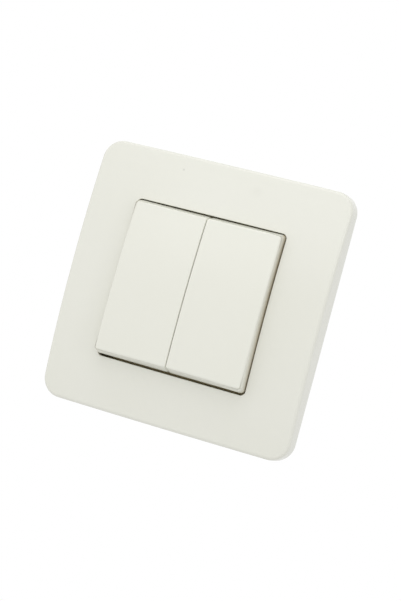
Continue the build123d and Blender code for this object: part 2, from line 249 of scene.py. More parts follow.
@dataclass(frozen=True)
class Cap:
    """Moulded body with a drafted wall, a domed front and a rolled edge between them."""

    outline: Callable[[float], Footprint]
    dome: Dome
    edge: float

    def wall(self, seed: Seed, height: float) -> Vector:
        """Point of the wall as (x, level, height)."""
        return self.outline(height).at(seed, height)

    def rolled(self, seed: Seed, turn: float) -> Vector:
        """Point of the rolled edge.

        Args:
            seed: Place round the outline.
            turn: 0 where the edge meets the wall, 1 where it meets the front.

        Returns:
            The point as (x, level, height).
        """
        top = self.dome.crest - self.edge
        # How far the wall comes in over its next millimetre of height.
        lean = (self.outline(top).place(seed) - self.outline(top + 1).place(seed)).dot(seed.out)
        draft = math.atan(lean)
        start = seed.push(math.cos(draft)) + Vector((0, 0, math.sin(draft)))
        foot = top
        for _ in range(ROLL_PASSES):
            centre = self.wall(seed, foot) - start * self.edge
            foot = self.dome.lifted(centre, self.edge).z + self.edge * math.sin(draft)
        finish = self.dome.normal(centre, self.edge)
        return centre + start.slerp(finish, turn) * self.edge

    def front(self, seed: Seed, inner: Footprint, share: float) -> Vector:
        """Point of the front on the way from the rolled edge to an inner outline."""
        return self.dome.lifted(self.rolled(seed, 1).to_2d().lerp(inner.place(seed), share))

    def lip(self, seed: Seed, window: Footprint, radius: float, turn: float) -> Vector:
        """Point of the rounded lip of a window in the front.

        Args:
            seed: Place round the window.
            window: Outline of the window.
            radius: Radius of the lip.
            turn: 0 where the lip meets the front, 1 where it meets the window's wall.

        Returns:
            The point as (x, level, height).
        """
        flat = window.place(seed) + seed.out * radius
        way = self.dome.normal(flat, radius).slerp(-seed.out.to_3d(), turn)
        return self.dome.lifted(flat, radius) + way * radius


class RingLoft:
    """Mesh made by extruding one rounded ring from place to place."""

    def __init__(self, base: Footprint, corner_steps: int, cuts: int) -> None:
        """Makes the first ring, with its face.

        Args:
            base: Outline of the ring.
            corner_steps: Segments in each rounded corner.
            cuts: Points on each straight side.
        """
        self.mesh = bmesh.new()
        for vert in bmesh.ops.create_grid(self.mesh, x_segments=1, y_segments=1, size=1)["verts"]:
            vert.co.x = base.right if vert.co.x > 0 else base.left
            vert.co.y = base.upper if vert.co.y > 0 else base.lower
        for hand, radius in ((base.left, base.left_corner), (base.right, base.right_corner)):
            bmesh.ops.bevel(
                self.mesh,
                geom=[vert for vert in self.mesh.verts if abs(vert.co.x - hand) < ON_SIDE],
                offset=radius,
                affect="VERTICES",
                segments=corner_steps,
                profile=ROUND_PROFILE,
                material=-1,
            )
        four_sides = sorted(self.mesh.edges, key=lambda edge: -edge.calc_length())[:4]
        bmesh.ops.subdivide_edges(self.mesh, edges=four_sides, cuts=cuts)
        self.face = self.mesh.faces[:][0]
        self.ring = list(self.face.verts)
        self.first = self.ring
        self.seeds = [base.seed(vert.co.x, vert.co.y) for vert in self.ring]

    def lay(self, place: Callable[[Seed], Vector]) -> None:
        """Puts the present ring where the rule says."""
        for vert, seed in zip(self.ring, self.seeds):
            vert.co = place(seed)

    def open(self) -> None:
        """Takes the face of the first ring away."""
        bmesh.ops.delete(self.mesh, geom=[self.face], context="FACES_ONLY")

    def step(self, place: Callable[[Seed], Vector]) -> None:
        """Extrudes the ring and puts the new one where the rule says.

        Args:
            place: Rule that gives each seed its point as (x, level, height).
        """
        pairs = zip(self.ring, self.ring[1:] + self.ring[:1])
        edges = [edge for first, second in pairs for edge in first.link_edges if edge.other_vert(first) is second]
        made = bmesh.ops.extrude_edge_only(self.mesh, edges=edges)["geom"]
        fresh = {item for item in made if isinstance(item, bmesh.types.BMVert)}
        following = []
        for vert, seed in zip(self.ring, self.seeds):
            twin = next(edge.other_vert(vert) for edge in vert.link_edges if edge.other_vert(vert) in fresh)
            twin.co = place(seed)
            following.append(twin)
        self.ring = following

    def fill(self) -> None:
        """Closes the present ring with one face."""
        bmesh.ops.contextual_create(self.mesh, geom=self.ring)

    def close(self) -> None:
        """Joins the last ring to the first, which lies in the same place."""
        bmesh.ops.remove_doubles(self.mesh, verts=self.ring + self.first, dist=RING_GAP)

    def cut_places(self, axis: int) -> list[float]:
        """Places along an axis (0 for x, 1 for level) of the points on one straight side of the present ring."""
        way = Vector((0, 1)) if axis == 0 else Vector((-1, 0))
        return [vert.co[axis] for vert, seed in zip(self.ring, self.seeds) if seed.out.dot(way) > SQUARE_TO_SIDE]

    def dome_fill(
        self, dome: Dome, columns: Sequence[float], levels: Sequence[float], face: bmesh.types.BMFace
    ) -> None:
        """Cuts a face into a net that follows the dome.

        Args:
            dome: Dome that the net follows.
            columns: Places of the cuts along X.
            levels: Places of the cuts along Z.
            face: Face that is cut.
        """
        old = set(self.mesh.verts)
        geom = [face, *face.edges, *face.verts]
        for places, way in ((levels, Vector((0, 1, 0))), (columns, Vector((1, 0, 0)))):
            for place in places:
                geom = bmesh.ops.bisect_plane(
                    self.mesh, geom=geom, dist=CUT_GAP, plane_co=way * place, plane_no=way
                )["geom"]
        for vert in self.mesh.verts:
            if vert not in old:
                vert.co = dome.lifted(vert.co)


def tongue(mesh: bmesh.types.BMesh, points: Sequence[tuple[float, float]], x: float, width: float, soft: float) -> None:
    """Adds a closed bar with a side outline.

    Args:
        mesh: Mesh in (x, level, height) that takes the bar.
        points: Side outline as (height, level) pairs.
        x: Middle of the bar.
        width: Size along X.
        soft: Radius of its edges.
    """
    verts = [mesh.verts.new((x - width / 2, level, height)) for height, level in points]
    face = bmesh.ops.contextual_create(mesh, geom=verts)["faces"][0]
    made = bmesh.ops.extrude_face_region(mesh, geom=[face], use_keep_orig=True)["geom"]
    fresh = [item for item in made if isinstance(item, bmesh.types.BMVert)]
    bmesh.ops.translate(mesh, verts=fresh, vec=(width, 0, 0))
    solid = [edge for vert in verts + fresh for edge in vert.link_edges]
    bmesh.ops.bevel(
        mesh,
        geom=list(dict.fromkeys(solid)),
        offset=soft,
        affect="EDGES",
        segments=SOFT_SEGMENTS,
        profile=ROUND_PROFILE,
        material=-1,
    )


def to_row(mesh: bmesh.types.BMesh) -> None:
    """Turns a mesh from (x, level, height) in millimetres into the row frame in metres, facing outwards.

    Args:
        mesh: Mesh that is turned.
    """
    swap = Matrix(((MM, 0, 0, 0), (0, 0, -MM, 0), (0, MM, 0, 0), (0, 0, 0, 1)))
    bmesh.ops.transform(mesh, matrix=swap, verts=mesh.verts)
    bmesh.ops.recalc_face_normals(mesh, faces=mesh.faces)


def tipped(mesh: bmesh.types.BMesh, degrees: float, height: float) -> None:
    """Turns a row-frame mesh about the level axis that stands at a height."""
    turn = Matrix.Rotation(math.radians(degrees), 3, "X")
    bmesh.ops.rotate(mesh, verts=mesh.verts, cent=row(0, height, 0), matrix=turn)


# Finishes


def add(
    tree: bpy.types.NodeTree,
    kind: str,
    settings: dict[str | int, object] | None = None,
    links: dict[str | int, bpy.types.NodeSocket] | None = None,
) -> bpy.types.Node:
    """Adds a shader node.

    Args:
        tree: Node tree that takes it.
        kind: Blender's name for the node.
        settings: Properties of the node by name, and input values by name or number.
        links: Sockets that feed its inputs.

    Returns:
        The new node.
    """
    node = tree.nodes.new(kind)
    for key, value in (settings or {}).items():
        if isinstance(key, str) and key in node.bl_rna.properties:
            setattr(node, key, value)
        else:
            node.inputs[key].default_value = value
    for key, source in (links or {}).items():
        tree.links.new(source, node.inputs[key])
    return node


@dataclass(frozen=True)
class Mark:
    """Faint spot on a surface, at a place of the row frame in millimetres."""

    x: float
    height: float
    level: float
    radius: float
    strength: float


@dataclass(frozen=True)
class Recess:
    """Painted shade: a darker, warmer tone of a moulding where it goes down into the window, standing in for the shade
    in the gap.

    Sizes are millimetres. The painted shade sets in at one height above the plate's front and is whole at a lower one.
    It stays within the half opening of the window, and past a distance from the middle along X.
    """

    tone: str
    high: float
    low: float
    from_x: float
    crest: float = PLATE_CREST
    radius: float = FRONT_RADIUS
    half_opening: float = 24.2

    def tinted(
        self, tree: bpy.types.NodeTree, colour: bpy.types.NodeSocket, place: bpy.types.NodeSocket
    ) -> bpy.types.NodeSocket:
        """Mixes the painted shade in.

        Args:
            tree: Node tree of the material.
            colour: Plain colour of the moulding.
            place: Object coordinates.

        Returns:
            The colour with the painted shade in the window.
        """
        axes = add(tree, "ShaderNodeSeparateXYZ", {}, {0: place}).outputs
        flat = add(tree, "ShaderNodeVectorMath", {"operation": "MULTIPLY", 1: (1, 0, 1)}, {0: place}).outputs[0]
        square = add(tree, "ShaderNodeVectorMath", {"operation": "DOT_PRODUCT"}, {0: flat, 1: flat}).outputs["Value"]
        fall = {"operation": "MULTIPLY_ADD", 1: 1 / (2 * self.radius * MM), 2: -self.crest * MM}
        front = add(tree, "ShaderNodeMath", fall, {0: square}).outputs[0]
        above = add(tree, "ShaderNodeMath", {"operation": "SUBTRACT"}, {0: front, 1: axes[1]}).outputs[0]
        heights = {"From Min": self.high * MM, "From Max": self.low * MM}
        share = add(tree, "ShaderNodeMapRange", heights, {"Value": above}).outputs[0]
        limits = (
            (0, "LESS_THAN", self.half_opening),
            (2, "LESS_THAN", self.half_opening),
            (0, "GREATER_THAN", self.from_x),
        )
        for axis, test, limit in limits:
            away = add(tree, "ShaderNodeMath", {"operation": "ABSOLUTE"}, {0: axes[axis]}).outputs[0]
            within = add(tree, "ShaderNodeMath", {"operation": test, 1: limit * MM}, {0: away}).outputs[0]
            share = add(tree, "ShaderNodeMath", {"operation": "MULTIPLY"}, {0: share, 1: within}).outputs[0]
        toned = {"data_type": "RGBA", 7: linear(self.tone)}
        return add(tree, "ShaderNodeMix", toned, {0: share, 6: colour}).outputs[2]


@dataclass(frozen=True)
class Finish:
    """A real material and how its surface was made.

    Sizes are millimetres. The colour drifts between two tones in patches, the roughness varies in a grain that may be
    drawn out along one axis, and a bump gives the skin that the tool or the rolls left.
    """

    name: str
    tone: str
    second_tone: str
    patch: float
    roughness: float
    roughness_spread: float
    grain: tuple[float, float, float]
    bump_size: float
    bump_depth: float
    metallic: float = 0.0
    ior: float = 1.5
    marks: tuple[Mark, ...] = ()
    # Painted shade where the moulding goes down into the window, if any.
    recess: Recess | None = None

    def _marked(
        self, tree: bpy.types.NodeTree, colour: bpy.types.NodeSocket, place: bpy.types.NodeSocket
    ) -> bpy.types.NodeSocket:
        """Darkens the colour at each faint mark.

        Args:
            tree: Node tree of the material.
            colour: Colour without the marks.
            place: Object coordinates.

        Returns:
            The colour with the marks.
        """
        toned = {"data_type": "RGBA", 7: linear(MARK_TONE)}
        for mark in self.marks:
            middle = tuple(row(mark.x, mark.height, mark.level))
            away = add(tree, "ShaderNodeVectorMath", {"operation": "DISTANCE", 1: middle}, {0: place})
            fade = {"From Min": mark.radius * MM, "From Max": 0.0, "To Min": 0.0, "To Max": mark.strength}
            share = add(tree, "ShaderNodeMapRange", fade, {"Value": away.outputs["Value"]})
            colour = add(tree, "ShaderNodeMix", toned, {0: share.outputs["Result"], 6: colour}).outputs[2]
        return colour

    def material(self) -> bpy.types.Material:
        """Builds the material, once.

        Returns:
            The material of this finish.
        """
        ready = bpy.data.materials.get(self.name)
        if ready:
            return ready
        made = bpy.data.materials.new(self.name)
        made.use_nodes = True
        tree = made.node_tree
        shader = tree.nodes["Principled BSDF"]
        place = add(tree, "ShaderNodeTexCoord").outputs["Object"]
        clouds = {"Scale": 1 / (self.patch * MM), "Detail": 3.0}
        patches = add(tree, "ShaderNodeTexNoise", clouds, {"Vector": place}).outputs["Fac"]
        tones = {"data_type": "RGBA", 6: linear(self.tone), 7: linear(self.second_tone)}
        colour = add(tree, "ShaderNodeMix", tones, {0: patches}).outputs[2]
        # Painted shade in the window's gap, darker and warmer lower down.
        if self.recess:
            colour = self.recess.tinted(tree, colour, place)
        tree.links.new(self._marked(tree, colour, place), shader.inputs["Base Color"])

        sizes = {"Scale": tuple(1 / (size * MM) for size in self.grain)}
        drawn = add(tree, "ShaderNodeMapping", sizes, {"Vector": place})
        grain = add(tree, "ShaderNodeTexNoise", {"Scale": 1.0, "Detail": 2.0}, {"Vector": drawn.outputs["Vector"]})
        low, high = self.roughness - self.roughness_spread, self.roughness + self.roughness_spread
        spread = {"From Min": NOISE_LOW, "From Max": NOISE_HIGH, "To Min": low, "To Max": high}
        rough = add(tree, "ShaderNodeMapRange", spread, {"Value": grain.outputs["Fac"]})
        tree.links.new(rough.outputs["Result"], shader.inputs["Roughness"])

        skin = add(tree, "ShaderNodeTexNoise", {"Scale": 1 / (self.bump_size * MM), "Detail": 2.0}, {"Vector": place})
        relief = {"Strength": 1.0, "Distance": self.bump_depth * MM}
        bump = add(tree, "ShaderNodeBump", relief, {"Height": skin.outputs["Fac"]})
        tree.links.new(bump.outputs["Normal"], shader.inputs["Normal"])
        shader.inputs["Metallic"].default_value = self.metallic
        if not self.metallic:
            shader.inputs["IOR"].default_value = self.ior
        return made


# Urea moulding from a polished tool: an even cream with a soft gloss and a hardly visible ripple.
IVORY_UREA = Finish(
    name="polished_ivory_urea",
    tone="#E9E9E0",
    second_tone="#E6E6DB",
    patch=22.0,
    roughness=0.22,
    roughness_spread=0.006,
    grain=(15.0, 15.0, 15.0),
    bump_size=1.6,
    bump_depth=0.002,
    ior=1.56,
    marks=(Mark(-12.35, 8.05, 35.27, 0.5, 0.3), Mark(11.3, 8.27, 34.0, 2.2, 0.05)),
    # Painted shade on the window's wall, below the plate's front.
    recess=Recess("#B7AA8C", -0.25, -2.5, 0.0),
)
IVORY_UREA_CAP = Finish(
    name="polished_ivory_urea_caps",
    tone="#EAEAE0",
    second_tone="#E8E8DD",
    patch=18.0,
    roughness=0.22,
    roughness_spread=0.006,
    grain=(15.0, 15.0, 15.0),
    bump_size=1.6,
    bump_depth=0.002,
    ior=1.56,
    # Painted shade on the caps' outer side walls, towards the gap round them.
    recess=Recess("#ADA289", 2.8, -0.4, 22.55),
)
# Zinc-plated steel sheet, pressed and yellow-passivated: a dull gold with faint clouds and a satin sheen.
PASSIVATED_SHEET = Finish(
    name="yellow_passivated_steel_sheet",
    tone="#A69A74",
    second_tone="#B3A681",
    patch=14.0,
    roughness=0.38,
    roughness_spread=0.08,
    grain=(0.6, 4.0, 4.0),
    bump_size=0.8,
    bump_depth=0.003,
    metallic=1.0,
)
# Polyamide with glass, moulded in a spark-eroded tool: pale grey, matt and finely grained.
SPARKED_POLYAMIDE = Finish(
    name="spark_eroded_polyamide",
    tone="#D7D7D0",
    second_tone="#D0D0C8",
    patch=9.0,
    roughness=0.58,
    roughness_spread=0.06,
    grain=(0.5, 0.5, 0.5),
    bump_size=0.3,
    bump_depth=0.012,
)
# Acetal from a smooth tool: off-white and slightly waxy.
WHITE_ACETAL = Finish(
    name="moulded_white_acetal",
    tone="#DEDDD6",
    second_tone="#D8D7CF",
    patch=6.0,
    roughness=0.42,
    roughness_spread=0.05,
    grain=(1.0, 1.0, 1.0),
    bump_size=0.8,
    bump_depth=0.003,
    ior=1.48,
)
# Acetal filled with graphite, which slides on the lever: dark grey and half matt.
GRAPHITE_ACETAL = Finish(
    name="moulded_graphite_acetal",
    tone="#4A4845",
    second_tone="#403F3C",
    patch=2.0,
    roughness=0.40,
    roughness_spread=0.06,
    grain=(0.4, 0.4, 0.4),
    bump_size=0.4,
    bump_depth=0.002,
    ior=1.48,
)
# Rolled brass strip, stamped: warm yellow, with fine lines from the rolls and a little tarnish.
STAMPED_BRASS = Finish(
    name="stamped_brass_strip",
    tone="#D9BC7A",
    second_tone="#C9A864",
    patch=3.0,
    roughness=0.30,
    roughness_spread=0.08,
    grain=(0.12, 3.0, 3.0),
    bump_size=0.5,
    bump_depth=0.001,
    metallic=1.0,
)
# Cold-headed silver rivets: nearly white metal with a soft shine.
HEADED_SILVER = Finish(
    name="headed_contact_silver",
    tone="#DEDAD2",
    second_tone="#CFCAC0",
    patch=0.9,
    roughness=0.26,
    roughness_spread=0.06,
    grain=(0.3, 0.3, 0.3),
    bump_size=0.5,
    bump_depth=0.001,
    metallic=1.0,
)
# Turned steel under bright nickel: slightly warm grey with a clear shine.
NICKELLED_STEEL = Finish(
    name="nickel_plated_screw_steel",
    tone="#C2BEB4",
    second_tone="#B3AFA5",
    patch=1.2,
    roughness=0.24,
    roughness_spread=0.06,
    grain=(0.4, 0.4, 0.08),
    bump_size=0.4,
    bump_depth=0.001,
    metallic=1.0,
)
# Drawn spring wire: mid grey with fine lines along the drawing.
DRAWN_WIRE = Finish(
    name="drawn_spring_wire",
    tone="#A3A4A6",
    second_tone="#939496",
    patch=0.8,
    roughness=0.30,
    roughness_spread=0.05,
    grain=(0.3, 0.3, 0.3),
    bump_size=0.2,
    bump_depth=0.0005,
    metallic=1.0,
)


# Pieces


class Workshop:
    """Makes finished pieces from meshes and reports them."""

    # Angles in degrees past which an edge isn't smoothed, on a node's own shape and on a moulded one.
    NODE_SHARP = 30.0
    MOULDED_SHARP = 40.0
    # Gap in metres over which a node's triangles are merged, and the angle in degrees up to which its faces are whole.
    MERGE_GAP = 2e-6
    FLAT_ANGLE = 0.4
    # Angle in degrees past which an edge is rounded.
    BEVEL_ANGLE = 35.0

    def __init__(self, frame: dict) -> None:
        """Keeps the frame."""
        self.frame = frame

    def body_of(self, node: str) -> str:
        """Name of the CAD body that holds a node."""
        bodies = self.frame["record"]["behaviour"]["bodies"]
        return next(body for body, nodes in bodies.items() if node in nodes)

    def slot_of(self, node: str) -> str:
        """Name of the record's material slot of a node."""
        rows = self.frame["record"]["subparts"]
        return next(entry["material_slot"] for entry in rows if entry["node"] == node)

    def piece(self, name: str, mesh: bmesh.types.BMesh, node: str, finish: Finish, sharp: float) -> bpy.types.Object:
        """Makes a piece that stands for a node and rides on its body.

        Args:
            name: Name of the piece.
            mesh: Its mesh in the row frame, in metres. It is freed.
            node: CAD node that it replaces.
            finish: Its material.
            sharp: Angle in degrees past which an edge isn't smoothed.

        Returns:
            The new object.
        """
        data = bpy.data.meshes.new(name)
        mesh.to_mesh(data)
        mesh.free()
        data.shade_smooth()
        data.set_sharp_from_angle(angle=math.radians(sharp))
        data.materials.append(finish.material())
        made = bpy.data.objects.new(name, data)
        bpy.context.scene.collection.objects.link(made)
        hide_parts(node)
        self.slot_of(node)
        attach(made, self.body_of(node))
        LOG.info("%s: %d faces, for %s", name, len(data.polygons), node)
        return made

    def shade_evenly(self, made: bpy.types.Object) -> None:
        """Shades large faces flat and leaves the sharp edges."""
        made.modifiers.new("even shading", "WEIGHTED_NORMAL").keep_sharp = True

    def moulded(self, name: str, mesh: bmesh.types.BMesh, node: str, finish: Finish) -> None:
        """Makes an evenly shaded piece from a mesh of its own.

        Args:
            name: Name of the piece.
            mesh: Its mesh in the row frame, in metres. It is freed.
            node: CAD node that it replaces.
            finish: Its material.
        """
        self.shade_evenly(self.piece(name, mesh, node, finish, self.MOULDED_SHARP))

    def merged_copy(self, node: str) -> bmesh.types.BMesh:
        """Copies a node's mesh, with its triangles merged and its flat faces whole.

        Args:
            node: CAD node that is copied.

        Returns:
            The copy.
        """
        mesh = bmesh.new()
        mesh.from_mesh(self.frame["nodes"][node].data)
        bmesh.ops.remove_doubles(mesh, verts=mesh.verts, dist=self.MERGE_GAP)
        flat = math.radians(self.FLAT_ANGLE)
        bmesh.ops.dissolve_limit(mesh, angle_limit=flat, verts=mesh.verts, edges=mesh.edges)
        return mesh

    def softened(self, name: str, node: str, finish: Finish, edge: float) -> bpy.types.Object:
        """Makes a piece with the node's own shape and slightly rounded edges.

        Args:
            name: Name of the piece.
            node: CAD node that it replaces.
            finish: Its material.
            edge: Radius of its edges in millimetres.

        Returns:
            The new object.
        """
        made = self.piece(name, self.merged_copy(node), node, finish, self.NODE_SHARP)
        bevel = made.modifiers.new("soft edges", "BEVEL")
        bevel.width = edge * MM
        bevel.segments = SOFT_SEGMENTS
        bevel.limit_method = "ANGLE"
        bevel.angle_limit = math.radians(self.BEVEL_ANGLE)
        bevel.harden_normals = True
        self.shade_evenly(made)
        return made


@dataclass
class CoverPlate:
    """Domed, moulded cover plate with the rocker window, its rim and four barbed tongues."""

    shop: Workshop
    width: float = 80.0
    corner: float = 6.1
    draft: float = 2.0
    dome: Dome = Dome(PLATE_CREST, FRONT_RADIUS)
    edge: float = 1.2
    inner_edge: float = 0.2
    wall: float = 1.8
    window_width: float = WINDOW_WIDTH
    window_length: float = WINDOW_LENGTH
    window_corner: float = 1.5
    window_middle: float = 6.0
    lip: float = 0.2
    rim_wall: float = 1.5
    rim_height: float = 3.6
    rim_root: float = 0.25
    foot_round: float = 0.15
    foot_share: float = 0.3
    clip_x: float = 13.0
    clip_level: float = 27.5
    clip_wall: float = 1.5
    clip_width: float = 4.0
    clip_hook: float = 0.6
    clip_play: float = 0.2
    clip_hook_length: float = 1.5
    clip_soft: float = 0.12
    # Rings of the mesh: segments and cuts, heights on the walls, and shares of the way over the front.
    corner_steps: int = 16
    side_cuts: int = 19
    edge_steps: int = 12
    lip_steps: int = 6
    inner_edge_steps: int = 3
    wall_heights: tuple[float, ...] = (2.0, 4.0)
    inner_height: float = 3.0
    front_shares: tuple[float, ...] = (0.008, 0.12, 0.3, 0.5, 0.7, 0.88, 0.985)
    inner_shares: tuple[float, ...] = (0.7, 0.4, 0.1, 0.01)

    def _outline(self, width: float, length: float, corner: float) -> Footprint:
        """Outline centred on the plate."""
        return Footprint(-width / 2, width / 2, -length / 2, length / 2, corner, corner)

    def _shell(self, depth: float, edge: float) -> Cap:
        """Describes one surface of the plate.

        Args:
            depth: How far it lies inside the outer surface.
            edge: Radius of its rolled edge.

        Returns:
            The surface.
        """
        base = self._outline(self.width, self.width, self.corner).inset(depth)
        slope = math.tan(math.radians(self.draft))
        return Cap(
            outline=lambda height: base.inset(height * slope),
            dome=Dome(self.dome.crest - depth, self.dome.radius),
            edge=edge,
        )

    def _mesh(self) -> bmesh.types.BMesh:
        """Builds the shell from the foot of the outer wall, over the front and the window, to the inside.

        Returns:
            The plate's mesh in the row frame.
        """
        outer, inner = self._shell(0.0, self.edge), self._shell(self.wall, self.inner_edge)
        window = self._outline(self.window_width, self.window_length, self.window_corner)
        rim = window.inset(-self.rim_wall)
        lip_start = window.inset(-self.lip)
        soft, low = self.foot_round, self.rim_height
        toe = soft * self.foot_share
        loft = RingLoft(self._outline(self.width, self.width, self.corner), self.corner_steps, self.side_cuts)
        loft.open()
        loft.lay(lambda seed: outer.wall(seed, 0) - seed.push(soft))
        loft.step(lambda seed: outer.wall(seed, toe) - seed.push(toe))
        for height in (soft, *self.wall_heights):
            loft.step(lambda seed: outer.wall(seed, height))
        for turn in range(self.edge_steps + 1):
            loft.step(lambda seed: outer.rolled(seed, turn / self.edge_steps))
        for share in self.front_shares:
            loft.step(lambda seed: outer.front(seed, lip_start, share))
        for turn in range(self.lip_steps + 1):
            loft.step(lambda seed: outer.lip(seed, window, self.lip, turn / self.lip_steps))
        loft.step(lambda seed: window.at(seed, self.window_middle))
        loft.step(lambda seed: window.at(seed, low + soft))
        loft.step(lambda seed: window.inset(-soft).at(seed, low))
        loft.step(lambda seed: rim.inset(soft).at(seed, low))
        loft.step(lambda seed: rim.at(seed, low + soft))
        loft.step(lambda seed: inner.dome.lifted(rim.place(seed)) - Vector((0, 0, self.rim_root)))
        loft.step(lambda seed: inner.dome.lifted(rim.place(seed)) + seed.push(self.rim_root))
        for share in self.inner_shares:
            loft.step(lambda seed: inner.front(seed, rim, share))
        for turn in range(self.inner_edge_steps, -1, -1):
            loft.step(lambda seed: inner.rolled(seed, turn / self.inner_edge_steps))
        for height in (self.inner_height, soft):
            loft.step(lambda seed: inner.wall(seed, height))
        loft.step(lambda seed: inner.wall(seed, 0) + seed.push(soft))
        loft.step(lambda seed: outer.wall(seed, 0) - seed.push(soft))
        loft.close()
        self._clips(loft.mesh)
        to_row(loft.mesh)
        return loft.mesh

    def _clips(self, mesh: bmesh.types.BMesh) -> None:
        """Adds the four barbed tongues.

        Args:
            mesh: Mesh in (x, level, height) that takes them.
        """
        for end in (-1, 1):
            inner = end * self.clip_level
            outer = end * (self.clip_level + self.clip_wall)
            root = self.dome.lifted(Vector((self.clip_x, outer))).z - self.wall / 2
            tip = -self.clip_play - self.clip_hook_length
            barb = outer + end * self.clip_hook
            catch = -self.clip_play
            points = [(root, inner), (tip, inner), (tip, outer), (catch, barb), (catch, outer), (root, outer)]
            for hand in (-1, 1):
                tongue(mesh, points, hand * self.clip_x, self.clip_width, self.clip_soft)

    def build(self) -> None:
        """Makes the plate."""
        self.shop.moulded("moulded_cover_plate", self._mesh(), "cover_plate", IVORY_UREA)


@dataclass
class RockerCap:
    """Tapered rocker cap, a thin shell with two barbed legs and two ribs, in its tipped position."""

    shop: Workshop
    side: Side
    dome: Dome = Dome(13.9, FRONT_RADIUS)
    window_width: float = WINDOW_WIDTH
    window_length: float = WINDOW_LENGTH
    side_gap: float = 0.22
    lower_gap: float = 0.6
    upper_gap: float = 0.4
    split: float = 0.16
    side_taper: float = 7.0
    end_taper: float = 16.0
    taper_start: float = 9.0
    taper_round: float = 0.25
    taper_margin: float = 1.0
    skirt: float = 4.6
    wall: float = 1.6
    corner: float = 0.5
    base_corner: float = 1.0
    inner_corner: float = 0.5
    split_corner: float = 0.7
    edge: float = 0.45
    inner_edge: float = 0.2
    foot_round: float = 0.15
    pole_x: float = POLE_X
    leg_width: float = 5.0
    leg_wall: float = 1.6
    leg_reach: float = 8.5
    leg_hook: float = 0.5
    leg_tip: float = 1.2
    leg_play: float = 0.1
    leg_root: float = 0.3
    leg_soft: float = 0.12
    platform: float = 6.2
    platform_sheet: float = 1.8
    platform_length: float = 25.0
    tip_angle: float = TIP_ANGLE
    pivot: float = 5.0
    # Rings of the mesh: segments and cuts, heights on the walls, and the narrow flat ring round each net.
    corner_steps: int = 8
    side_cuts: int = 19
    edge_steps: int = 8
    inner_edge_steps: int = 4
    upper_height: float = 12.0
    inner_height: float = 11.5
    front_inset: float = 6.0
    front_share: float = 0.02
    roof_inset: float = 5.0
    roof_share: float = 0.03

    def _shell(self, depth: float) -> Cap:
        """Describes one surface of the right cap.

        Args:
            depth: How far it lies inside the outer surface.

        Returns:
            The surface.
        """
        half_width = self.window_width / 2 - self.side_gap - depth
        lower = -self.window_length / 2 + self.lower_gap + depth
        upper = self.window_length / 2 - self.upper_gap - depth
        crest = self.dome.crest - depth
        full_rise = crest + self.taper_margin - self.taper_start
        foot_corner = max(self.base_corner - depth, self.inner_corner)
        head_corner = max(self.corner - depth, self.inner_corner)
        split_corner = max(self.split_corner - depth, self.inner_corner)

        def outline(height: float) -> Footprint:
            """Finds the outline at a height, tapered above the start of the taper.

            Args:
                height: Height out of the wall.

            Returns:
                The outline.
            """
            rise = max(0.0, height - self.taper_start)
            side = rise * math.tan(math.radians(self.side_taper))
            end = rise * math.tan(math.radians(self.end_taper))
            return Footprint(
                self.split / 2 + depth,
                half_width - side,
                lower + end,
                upper - end,
                split_corner,
                mix(foot_corner, head_corner, rise / full_rise),
            )

        return Cap(outline, Dome(crest, self.dome.radius), max(self.edge - depth, self.inner_edge))

    def _mesh(self) -> bmesh.types.BMesh:
        """Builds the shell with its front, wall, foot and inside, and the legs.

        Returns:
            The cap's mesh in the row frame, tipped.
        """
        outer, inner = self._shell(0.0), self._shell(self.wall)
        soft, start = self.foot_round, self.taper_start
        base = outer.outline(self.dome.crest)
        loft = RingLoft(base, self.corner_steps, self.side_cuts)
        front_middle = base.inset(self.front_inset)
        loft.lay(lambda seed: outer.front(seed, front_middle, self.front_share))
        front_columns, front_levels = loft.cut_places(0), loft.cut_places(1)
        for turn in range(self.edge_steps, -1, -1):
            loft.step(lambda seed: outer.rolled(seed, turn / self.edge_steps))
        bend = (start + self.taper_round, start, start - self.taper_round)
        for height in (self.upper_height, *bend, self.skirt + soft):
            loft.step(lambda seed: outer.wall(seed, height))
        loft.step(lambda seed: outer.wall(seed, self.skirt) - seed.push(soft))
        loft.step(lambda seed: inner.wall(seed, self.skirt) + seed.push(soft))
        for height in (self.skirt + soft, start, self.inner_height):
            loft.step(lambda seed: inner.wall(seed, height))
        for turn in range(self.inner_edge_steps + 1):
            loft.step(lambda seed: inner.rolled(seed, turn / self.inner_edge_steps))
        roof_middle = inner.outline(inner.dome.crest).inset(self.roof_inset)
        loft.step(lambda seed: inner.front(seed, roof_middle, self.roof_share))
        roof_columns, roof_levels = loft.cut_places(0), loft.cut_places(1)
        loft.fill()
        roof = loft.mesh.faces[:][-1]
        loft.dome_fill(outer.dome, front_columns, front_levels, loft.face)
        loft.dome_fill(inner.dome, roof_columns, roof_levels, roof)
        self._legs(loft.mesh)
        if self.side is Side.LEFT:
            bmesh.ops.scale(loft.mesh, vec=(-1, 1, 1), verts=loft.mesh.verts)
        to_row(loft.mesh)
        tipped(loft.mesh, self.tip_angle, self.pivot)
        return loft.mesh

    def _legs(self, mesh: bmesh.types.BMesh) -> None:
        """Adds the barbed legs and the ribs that bear on the actuator's platform.

        Args:
            mesh: Mesh in (x, level, height) that takes them.
        """
        root = self.dome.crest - self.wall + self.leg_root
        seat = self.platform - self.leg_play
        tip = seat - self.leg_tip
        top = self.platform + self.platform_sheet
        for end in (-1, 1):
            inner = end * self.leg_reach
            outer = end * (self.leg_reach + self.leg_wall)
            barb = outer + end * self.leg_hook
            leg = [(root, inner), (tip, inner), (tip, outer), (seat, barb), (seat, outer), (root, outer)]
            low = end * self.platform_length / 4 - self.wall / 2
            rib = [(top, low), (top, low + self.wall), (root, low + self.wall), (root, low)]
            for points in (leg, rib):
                tongue(mesh, points, self.pole_x, self.leg_width, self.leg_soft)

    def build(self) -> None:
        """Makes the cap."""
        node = f"{self.side.word}_rocker"
        self.shop.moulded(f"{node}_cap", self._mesh(), node, IVORY_UREA_CAP)


